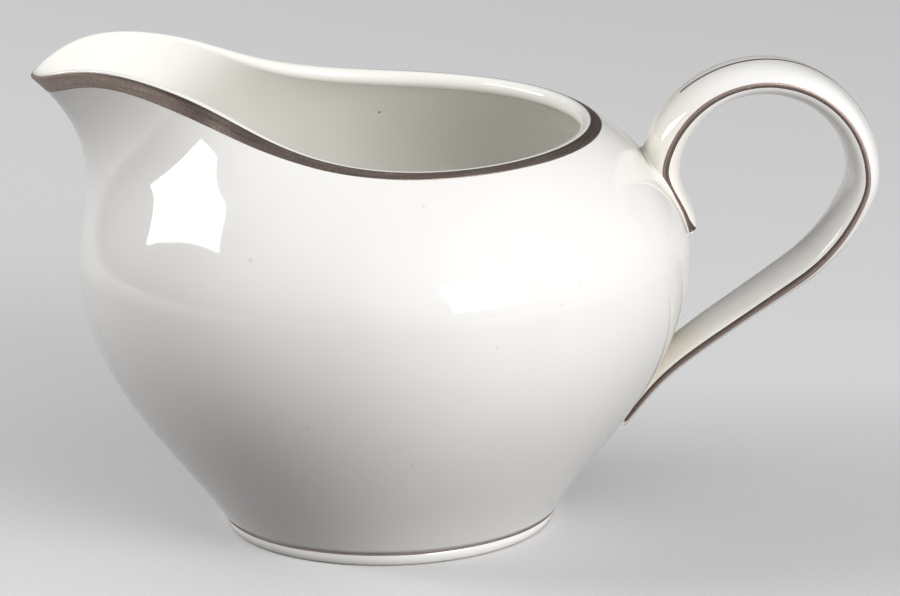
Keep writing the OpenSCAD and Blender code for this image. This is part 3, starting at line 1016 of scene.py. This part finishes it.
def seated(tree, size, corner, clearance):
    """The corner moved out level until it is clear of the bowl."""
    x, y, z, _ = corner
    radius, wall = wall_distance(size, x, y, z)
    spread = ((wall + clearance) / radius).at_least(1.0)
    spread = between(1.0, spread, (wall - NO_WALL).function("SIGN").at_least(0.0))
    return combine(tree, x * spread, y * spread, z)


def outer_edge(corner):
    """How far the strap's outer side stands off the wall where the two meet."""
    return corner[3].step(OUTWARD_FROM, OUTWARD_TO) * EDGE_T


def ring_grid(tree, size):
    """A grid of columns round and rings along; its share round and its ring number."""
    last_ring = size["Rings"] - 1
    grid, round_share, on = flat_grid(tree, size["Columns"], last_ring)
    return grid, round_share, (on * last_ring).function("ROUND")


def skin(piece_name, tree_name, rule, first, last, sizes, merge=STRAP_SAME_POINT,
         **path_settings):
    """Grows a piece on the rings between two shares of the strap. The rule gives the
    grid and where its points go at (tree, sizes, grid, share round, ring number)."""
    path, rings = strap_path(piece_name + "_rings", first, last, **path_settings)
    sizes = {"Path": path, "Bowl": bowl, "Rings": rings, **sizes}
    tree, size = shape_tree(tree_name, sizes)
    grid, point = rule(tree, size, *ring_grid(tree, size))
    close_tree(tree, moved(tree, grid, point), size["Finish"])
    piece = grow(piece_name, tree, sizes, merge)
    bpy.data.objects.remove(path)
    return piece


# %% [markdown]
# ### The strap itself
#
# The strap takes the whole length, from end to end, with its ends rounded. Its skin goes
# once round the section, so its first and last columns meet and are joined.

# %% Strap
STRAP_SIZES = {"Columns": 96, "Finish": strap_glaze}


def strap_rule(tree, size, grid, round_share, ring):
    """The strap's own surface."""
    corner = strap_corner(tree, size, ring, round_share * math.tau, 0.0)
    edge = outer_edge(corner) * from_path(size, "open", "FLOAT", ring)
    return grid, seated(tree, size, corner, edge + SEAT)


strap = skin("strap_handle", "strap_shape", strap_rule, 0.0, 1.0, STRAP_SIZES,
             rounding=END_ROUND)
dress(strap, "handle")

# %% [markdown]
# ### The painted lines of the handle
#
# A line runs along each edge of the strap and a hairline along its back. A line is the
# strap's own skin between two angles: one sheet a hair above it and one a hair below,
# which meet at the line's edges and at its ends. The brush swells and thins the line.

# %% Lines on the strap
LINE_W = 1.0 * MM
LINE_SIZES = {"Columns": 16, "Film": FILM}
SLOW_SWELL, QUICK_SWELL, QUICK_SHARE, SWELL = 0.043, 0.13, 0.5, 0.08
EDGE_LINE = ({"Width share": 1.0, "Finish": strap_lustre}, 0.003, 0.995)
BACK_LINE = ({"Width share": 0.3, "Finish": lustre}, 0.19, 0.97)


def line_rule(tree, size, grid, round_share, ring):
    """A film between two angles: half of its columns lie above it, half below."""
    side = (0.5 - round_share).function("SIGN")
    share = 1.0 - (round_share * 2.0 - 1.0).function("ABSOLUTE")
    off_middle = share * 2.0 - 1.0
    square = off_middle * off_middle
    lift = size["Film"] * side * (1.0 - square * square) * from_path(
        size, "open", "FLOAT", ring)
    swell = ((ring * SLOW_SWELL + size["Middle angle"]).function("SINE")
             + (ring * QUICK_SWELL).function("SINE") * QUICK_SHARE) * SWELL + 1.0
    half = from_path(size, "line_angle", "FLOAT", ring) * size["Width share"] * swell
    angle = size["Middle angle"] + half * off_middle
    corner = strap_corner(tree, size, ring, angle, lift)
    stroke = combine(tree, ring * RING_STEP, 0.0, off_middle * 0.5 * LINE_W)
    return (keep(tree, grid, "stroke", stroke),
            seated(tree, size, corner, outer_edge(corner) + lift + SEAT))


for name, node, middle, (sizes, first, last) in (
        ("edge_line_near", "handle_line_right", 0.0, EDGE_LINE),
        ("edge_line_far", "handle_line_left", math.pi, EDGE_LINE),
        ("back_hairline", "handle_line_back", math.pi / 2, BACK_LINE)):
    line = skin(name, "strap_line_shape", line_rule, first, last,
                {**LINE_SIZES, "Middle angle": middle, **sizes}, merge=SAME_POINT)
    dress(line, node)

# %% [markdown]
# ### The slip in the corners
#
# The handle was stuck on with slip, liquid clay, and what squeezed out was smoothed into
# the corner with a wet brush. Under the glaze it shows as a small hollow fillet. The
# skin of the strap is grown once more for each joint, just under the strap's surface,
# and wherever it comes within a fillet's radius of the bowl it is pushed outwards along
# a quarter circle.

# %% Slip fillets
UNDER = 0.08 * MM
SLIP_SIZES = {"Columns": 192, "Finish": slip_glaze}


def slip_rule(tree, size, grid, round_share, ring):
    """The strap's skin, flared where it comes near the bowl."""
    angle = round_share * math.tau
    x, y, z, _ = strap_corner(tree, size, ring, angle, 0.0)
    radius, wall = wall_distance(size, x, y, z)
    fillet = from_path(size, "fillet", "FLOAT", ring)
    near = (fillet - (radius - wall).at_least(0.0)).at_least(0.0)
    flare = fillet - (fillet * fillet - near * near).at_least(0.0).function("SQRT")
    lift = (flare - UNDER) * from_path(size, "open", "FLOAT", ring)
    corner = strap_corner(tree, size, ring, angle, lift)
    return grid, seated(tree, size, corner, -UNDER)


for name, node, first, last in (("slip_upper", "upper_joint_slip", 0.0, 0.2),
                                ("slip_lower", "lower_joint_slip", 0.78, 1.0)):
    slip = skin(name, "slip_shape", slip_rule, first, last, SLIP_SIZES, step=SLIP_RING_STEP)
    dress(slip, node)

# %% [markdown]
# ## Tools for the finishes
#
# A finish is a tree too: what varies over the surface is worked out from the place on
# the piece, and ends in one shader. `blend` mixes two colours, `cloud` is a soft random
# pattern of a given size, and `end_material` feeds the shader. Patterns read the Object
# coordinates, so they stay on the piece whatever looks at it. Sizes are in metres, so a
# pattern's scale is one over the size of its waves.

# %% Tools for the finishes
SPOT_CORE = 0.3


def place_on(tree):
    """The place on the piece."""
    return put(tree, "ShaderNodeTexCoord", None, None, "Object")


def cloud(vector, wave, detail=2.0):
    """A soft random pattern between 0 and 1 whose waves are this long."""
    return put(vector.tree, "ShaderNodeTexNoise", None,
               {"Vector": vector, "Scale": 1 / wave, "Detail": detail}, "Fac")


def blend(share, low, high):
    """A colour between two."""
    low, high = [(*colour, 1) if isinstance(colour, tuple) else colour
                 for colour in (low, high)]
    tree = next(value.tree for value in (share, low, high) if isinstance(value, Quantity))
    return put(tree, "ShaderNodeMix", {"data_type": "RGBA"}, {0: share, 6: low, 7: high}, 2)


def spot(place, centre, radius):
    """1 at a point, falling to 0 at a distance from it, both told in millimetres."""
    away = vectors("DISTANCE", place, [value * MM for value in centre], "Value")
    return 1.0 - away.step(radius * SPOT_CORE * MM, radius * MM)


def bump(height):
    """The normal of a surface whose height is given in millimetres."""
    return put(height.tree, "ShaderNodeBump", None, {"Height": height, "Distance": MM},
               "Normal")


def end_material(material, constants, changing):
    """The shader that ends a material, and its link to the output."""
    tree = material.node_tree
    surface = put(tree, "ShaderNodeBsdfPrincipled", None, {**constants, **changing}, "BSDF")
    tree.links.new(surface.socket, tree.nodes.new("ShaderNodeOutputMaterial").inputs[0])
    print(f"{material.name}: {len(tree.nodes)} nodes")


# %% [markdown]
# ## The glaze
#
# Porcelain's white isn't even: the glaze is a little thicker and warmer where it pooled.
# Inside the bowl the white is painted a little greener, a painted tint of the shade in
# the hollow. Its gloss varies, and the skin has a faint orange peel over the slow waves
# of the casting. A picture could hold all this, but a formula on the place keeps it
# sharp from any distance.

# %% Glaze
GLAZE = {"IOR": 1.55}
WHITE, CREAM = (0.885, 0.872, 0.85), (0.862, 0.842, 0.81)
# A painted tint of the shade inside the bowl.
INSIDE_SHADE_TINT = (0.885, 0.87, 0.825)
POOLED = (0.83, 0.79, 0.68)
TINT_WAVE, GLOSS_WAVE = 30 * MM, 12 * MM
TINT_RANGE, INWARD_RANGE = (0.35, 0.65), (-0.1, 0.35)
GLOSSY, LESS_GLOSSY = 0.035, 0.085
PEEL_WAVE, PEEL_MM = 2.2 * MM, 0.008
CASTING_WAVE, CASTING_MM = 16 * MM, 0.09


def glaze_skin(place):
    """Gloss and normal that every glazed surface shares."""
    peel, waves = cloud(place, PEEL_WAVE), cloud(place, CASTING_WAVE, 1.0)
    return {"Roughness": between(GLOSSY, LESS_GLOSSY, cloud(place, GLOSS_WAVE, 4.0)),
            "Normal": bump(peel * PEEL_MM + waves * CASTING_MM)}


def glaze_colour(place):
    """The glaze's own colour, before marks and pools."""
    return blend(cloud(place, TINT_WAVE, 3.0).step(*TINT_RANGE), CREAM, WHITE)


def inward(place):
    """1 where a surface looks at the pot's axis, 0 where it looks away from it."""
    normal = put(place.tree, "ShaderNodeNewGeometry", None, None, "Normal")
    flat = vectors("MULTIPLY", place, (1 / BELLY_R, 1 / BELLY_R, 0))
    return (-vectors("DOT_PRODUCT", normal, flat, "Value")).step(*INWARD_RANGE)


# %% [markdown]
# ### Specks, pits and pools
#
# The marks that the real pot shows are written down as places in millimetres, each with
# its radius and how much it hides of the glaze. The rest are strewn: a Voronoi texture
# cuts space into random cells, and one cell in three has a speck at its middle.

# %% Specks, pits and pools
SPECK_BROWN, PIT_GREY = (0.2, 0.06, 0.03), (0.5, 0.4, 0.33)
JOINTS = [((46.0, 0.0, 61.0), 15.0), ((43.0, 0.0, 28.0), 12.0)]
MARKS = [((2.1, 39.0, 55.5), 0.36, 0.95), ((-22.3, -38.6, 53.4), 0.5, 0.16)]
PITS = [(3.8, -37.7, 60.3), (24.0, -40.8, 45.1), (26.9, -38.4, 47.4),
        (-14.6, -41.3, 27.6), (1.0, -39.8, 20.6), (13.8, -45.3, 40.2)]
POOL_SHARE, PIT_SHARE, STREWN_SHARE, STRAP_POOL_SHARE = 0.5, 0.22, 0.5, 0.45
PIT_R_MM = 0.4
CELL, STREWN_R = 5.0 * MM, 0.16 * MM
STREWN_CORE, ONE_IN_THREE = 0.4, (0.66, 0.67)
STRAP_POOL_TO, POOL_WAVE, POOL_SWING = 6 * MM, 9 * MM, 3 * MM
SLIP_TINT_WAVE, SLIP_TINT_RANGE = 4 * MM, (0.3, 0.7)
SLIP_LUMP_WAVE, SLIP_LUMP_MM = 2.5 * MM, 0.03


def strewn(place, colour):
    """The colour, with specks at the middles of random cells, in one cell of three."""
    cells = {"Vector": place, "Scale": 1 / CELL}
    away = put(place.tree, "ShaderNodeTexVoronoi", None, cells, "Distance")
    chance, _, _ = separate(put(place.tree, "ShaderNodeTexVoronoi", None, cells, "Color"))
    size = STREWN_R / CELL
    specks = (1.0 - away.step(size * STREWN_CORE, size)) * chance.step(*ONE_IN_THREE)
    return blend(specks * STREWN_SHARE, colour, PIT_GREY)


def fill_bowl_glaze():
    """White outside, with a painted shade tint inside, pools at the joints and its marks.
    """
    place = place_on(glaze.node_tree)
    # Inside, the white is painted greener: a painted tint of the shade in the hollow.
    colour = blend(inward(place), glaze_colour(place), INSIDE_SHADE_TINT)
    for centre, radius in JOINTS:
        colour = blend(spot(place, centre, radius) * POOL_SHARE, colour, POOLED)
    for centre in PITS:
        colour = blend(spot(place, centre, PIT_R_MM) * PIT_SHARE, colour, PIT_GREY)
    colour = strewn(place, colour)
    for centre, radius, share in MARKS:
        colour = blend(spot(place, centre, radius) * share, colour, SPECK_BROWN)
    end_material(glaze, GLAZE, {"Base Color": colour, **glaze_skin(place)})


def fill_strap_glaze():
    """The strap's glaze, warmer at its two ends where it pooled."""
    place = place_on(strap_glaze.node_tree)
    x, _, _ = separate(place)
    out = x + cloud(place, POOL_WAVE) * POOL_SWING
    near = 1.0 - out.step(BELLY_R - MM, BELLY_R + STRAP_POOL_TO)
    colour = strewn(place, blend(near * STRAP_POOL_SHARE, glaze_colour(place), POOLED))
    end_material(strap_glaze, GLAZE, {"Base Color": colour, **glaze_skin(place)})


def fill_slip_glaze():
    """Glaze that pooled over the slip: warmer, and uneven where the brush went."""
    place = place_on(slip_glaze.node_tree)
    colour = blend(cloud(place, SLIP_TINT_WAVE, 3.0).step(*SLIP_TINT_RANGE), CREAM, POOLED)
    lumps = bump(cloud(place, SLIP_LUMP_WAVE) * SLIP_LUMP_MM)
    end_material(slip_glaze, GLAZE, {"Base Color": colour, **glaze_skin(place),
                                     "Normal": lumps})


for fill in (fill_bowl_glaze, fill_strap_glaze, fill_slip_glaze):
    fill()

# %% [markdown]
# ## Bare porcelain on the foot
#
# A pot would stick to the kiln shelf if its foot were glazed, so the glaze is wiped off
# the standing face, and the face is ground. Above a wavy border the ring is glazed like
# the bowl; below it the clay is matt, greyer, finely scratched and a little stained.

# %% Foot finish
BARE, STAIN = (0.74, 0.71, 0.66), (0.5, 0.43, 0.35)
BARE_UP_TO, GLAZED_FROM = 0.2 * MM, 0.5 * MM
BORDER_WAVE, BORDER_SWING = 6 * MM, 0.5 * MM
STAIN_WAVE, STAIN_RANGE, STAIN_SHARE = 5 * MM, (0.55, 0.75), 0.6
GRAIN_WAVE, GRAIN_MM = 0.4 * MM, 0.03
BARE_ROUGHER, GRAIN_ROUGHER = 0.5, 0.2


def fill_foot():
    """Matt clay up to the wavy border, and glaze above it."""
    place = place_on(bare_porcelain.node_tree)
    _, _, height = separate(place)
    border = height + (cloud(place, BORDER_WAVE) - 0.5) * BORDER_SWING
    bare = 1.0 - border.step(BARE_UP_TO, GLAZED_FROM)
    grain = cloud(place, GRAIN_WAVE, 4.0)
    stained = cloud(place, STAIN_WAVE, 5.0).step(*STAIN_RANGE) * STAIN_SHARE
    end_material(bare_porcelain, {"IOR": 1.5}, {
        "Base Color": blend(bare, glaze_colour(place), blend(stained, BARE, STAIN)),
        "Roughness": (glaze_skin(place)["Roughness"]
                      + bare * (grain * GRAIN_ROUGHER + BARE_ROUGHER)),
        "Normal": bump(grain * bare * GRAIN_MM)})


fill_foot()

# %% [markdown]
# ## Metal lustre
#
# The lustre is platinum, a small part of a thousandth of a millimetre thick. It mirrors,
# but dully, because it copies every stroke of the brush, and years of washing have
# rubbed it: porcelain shows through in specks and along the edges, where it was
# thinnest. Each film carries the place on its brush stroke under the name "stroke", so
# the streaks can be long along the stroke and fine across it, round every bend. Where
# the film is whole it is metal, and where it is worn it is partly glaze, so wear drives
# the colour and the metal. The band's front is painted paler than the rest: a painted
# reflection of the window lamp in front of the pot. On the strap's edges the line bends
# over a corner, and there too the reflections are painted: its inner side is painted
# darker and its outer side pinker.

# %% Lustre finish
# The lustre's own brown, kept dark as a painted reflection of the dark room round it.
METAL_DARK, METAL_LIGHT = (0.12, 0.093, 0.08), (0.42, 0.335, 0.295)
# The next two are painted reflections on the strap's edge lines: dark inside, pink outside.
PAINTED_DARK_REFLECTION, PAINTED_PINK_REFLECTION = (0.075, 0.058, 0.052), (0.34, 0.245, 0.22)
STREAK_LENGTH, STREAK_W, STREAK_MM = 6 * MM, 0.22 * MM, 0.004
RUB_WAVE, RUB_MM = 0.3 * MM, 0.003
FRONT_FROM, FRONT_TO, WINDOW_SHEEN_IN_FRONT = 15 * MM, 36 * MM, 0.35
MIDDLE_TONE, RUB_IN_TONE, STREAKS_IN_TONE = 0.45, 0.8, 0.7
EDGE_REFLECTION_SHARE = 0.65
OUTER_FROM, OUTER_TO = -0.05 * LINE_W, 0.15 * LINE_W
EDGE_WORN_FROM, EDGE_IN_WEAR, STREAKS_IN_WEAR = 0.75, 0.06, 0.25
WORN_FROM, WORN_TO = 0.78, 0.92
BRIGHT_METAL, DULL_METAL = 0.3, 0.5
MOST_WORN = 0.5


def fill_lustre(material, painted_edge_reflection):
    """Worn metal with painted reflections: paler in front, dark and pink over an edge."""
    tree = material.node_tree
    place = place_on(tree)
    stroke = put(tree, "ShaderNodeAttribute", {"attribute_name": "stroke"}, None, "Vector")
    drawn = vectors("MULTIPLY", stroke,
                    (1 / STREAK_LENGTH, 1 / STREAK_LENGTH, 1 / STREAK_W))
    streaks, rub = cloud(drawn, 1.0, 3.0), cloud(place, RUB_WAVE, 3.0)
    _, y, _ = separate(place)
    _, _, across = separate(stroke)
    # The band's front is painted paler: a painted reflection of the window lamp.
    front = (-y).step(FRONT_FROM, FRONT_TO) * WINDOW_SHEEN_IN_FRONT
    tone = ((rub - 0.5) * RUB_IN_TONE + (streaks - 0.5) * STREAKS_IN_TONE + MIDDLE_TONE
            + front)
    metal = blend(tone.at_least(0.0).at_most(1.0), METAL_DARK, METAL_LIGHT)
    # Painted reflections on the strap's edges: darker inside, pinker outside.
    if painted_edge_reflection:
        outer = across.step(OUTER_FROM, OUTER_TO)
        metal = blend(EDGE_REFLECTION_SHARE, metal, blend(outer, PAINTED_DARK_REFLECTION, PAINTED_PINK_REFLECTION))
    edge = across.function("ABSOLUTE").step(EDGE_WORN_FROM * BAND_W / 2, BAND_W / 2)
    worn = (rub + streaks * STREAKS_IN_WEAR + edge * EDGE_IN_WEAR).step(
        WORN_FROM, WORN_TO) * MOST_WORN
    end_material(material, {"IOR": 1.5}, {
        "Base Color": blend(worn, metal, CREAM),
        "Metallic": 1.0 - worn,
        "Roughness": between(BRIGHT_METAL, DULL_METAL, streaks),
        "Normal": bump(streaks * STREAK_MM + rub * RUB_MM)})


fill_lustre(lustre, False)
fill_lustre(strap_lustre, True)

# %% [markdown]
# ## Light
#
# A glossy white pot shows its lamps as clearly as its own shape. Two soft boxes stand
# where the real one mirrors them: a window-like one in front to the right, which is the
# main light, and a long slanted one at the left. Each is an area lamp, whose brightness
# is its power over its area and pi. It is told here by its place, in degrees round from
# the front and up, its width and height in metres, its lean in degrees and its
# brightness.

# %% Lamps
LAMP_DISTANCE = 900 * MM
AIM = Vector((0, 0, 40)) * MM


def direction(azimuth, elevation):
    """A direction, from degrees round from the front and degrees up."""
    azimuth, elevation = math.radians(azimuth), math.radians(elevation)
    return Vector((math.sin(azimuth) * math.cos(elevation),
                   -math.cos(azimuth) * math.cos(elevation), math.sin(elevation)))


def soft_box(name, azimuth, elevation, size, lean, brightness):
    """A rectangular lamp that looks at the pot."""
    data = bpy.data.lights.new(name, "AREA")
    data.shape = "RECTANGLE"
    data.size, data.size_y = size
    data.energy = brightness * math.pi * size[0] * size[1]
    lamp = show(name, data)
    out = direction(azimuth, elevation)
    side = Vector((0, 0, 1)).cross(out).normalized()
    facing = Matrix((side, out.cross(side), out)).transposed().to_4x4()
    lamp.matrix_world = (Matrix.Translation(AIM + out * LAMP_DISTANCE) @ facing
                         @ Matrix.Rotation(math.radians(lean), 4, "Z"))
    print(name, round(data.energy, 2), "W")


soft_box("window_front", 35.7, 20.5, (0.479, 0.416), 1.6, 8.7)
soft_box("soft_box_left", -96.5, 28.9, (0.66, 0.23), 26, 9.5)

# %% [markdown]
# ### Sky
#
# The room's walls throw light back from everywhere. They could be modelled, but the glaze
# would mirror their corners. A plain sky with a few wide glows does as well: each glow
# has its middle, its reach in degrees and its strength, and fades so slowly that it
# leaves no edge on the glaze.

# %% Sky
SKY_EVERYWHERE = 0.09
GLOWS = [((32, 16), 60, 0.95), ((-135, 45), 50, 0.72), ((95, 30), 55, 0.5)]


def fill_sky():
    """A world whose light depends on the direction alone."""
    world = bpy.data.worlds.new("studio")
    world.use_nodes = True
    tree = world.node_tree
    tree.nodes.clear()
    look = put(tree, "ShaderNodeTexCoord", None, None, "Generated")
    glow = sum((vectors("DOT_PRODUCT", look, direction(*middle), "Value")
                .step(math.cos(math.radians(reach)), 1.0) * strength
                for middle, reach, strength in GLOWS), SKY_EVERYWHERE)
    sky = put(tree, "ShaderNodeBackground", None, {"Color": (1, 1, 1, 1), "Strength": glow})
    tree.links.new(sky.socket, tree.nodes.new("ShaderNodeOutputWorld").inputs[0])
    bpy.context.scene.world = world


fill_sky()

# %% [markdown]
# ## Floor
#
# The floor is a wide sheet of pale paper, big enough to fill the picture. Its colour is
# seen by the camera and in mirrors, but it throws back less light than it shows, as if
# a dark cloth lay round the pot just out of sight. So the pot's lower half turns as dark
# as it really does, and the floor stays pale and keeps the pot's shadow.

# %% Floor
FLOOR_HALF = 4.0
PAPER, PAPER_FIBRE = (0.74, 0.74, 0.745), (0.705, 0.703, 0.705)
THROWN_BACK = (0.08, 0.075, 0.075)
FIBRE_WAVE, FIBRE_RANGE, FIBRE_MM = 0.5 * MM, (0.3, 0.7), 0.02
PAPER_ROUGHNESS = 0.75


def fill_floor():
    """Paper whose shown colour is paler than what lights the pot."""
    paper = new_material("floor_paper")
    tree = paper.node_tree
    place = place_on(tree)
    seen = sum(put(tree, "ShaderNodeLightPath", None, None, ray) for ray in
               ("Is Camera Ray", "Is Glossy Ray", "Is Transmission Ray")).at_most(1.0)
    fibre = cloud(place, FIBRE_WAVE, 4.0)
    shown = blend(fibre.step(*FIBRE_RANGE), PAPER, PAPER_FIBRE)
    end_material(paper, {"Roughness": PAPER_ROUGHNESS}, {
        "Base Color": blend(seen, THROWN_BACK, shown), "Normal": bump(fibre * FIBRE_MM)})
    return paper


floor = empty_piece("floor")
corners = [(x * FLOOR_HALF, y * FLOOR_HALF, 0)
           for x, y in ((-1, -1), (1, -1), (1, 1), (-1, 1))]
floor.data.from_pydata(corners, [], [(0, 1, 2, 3)])
floor.data.materials.append(fill_floor())
print("floor:", 2 * FLOOR_HALF, "m wide")
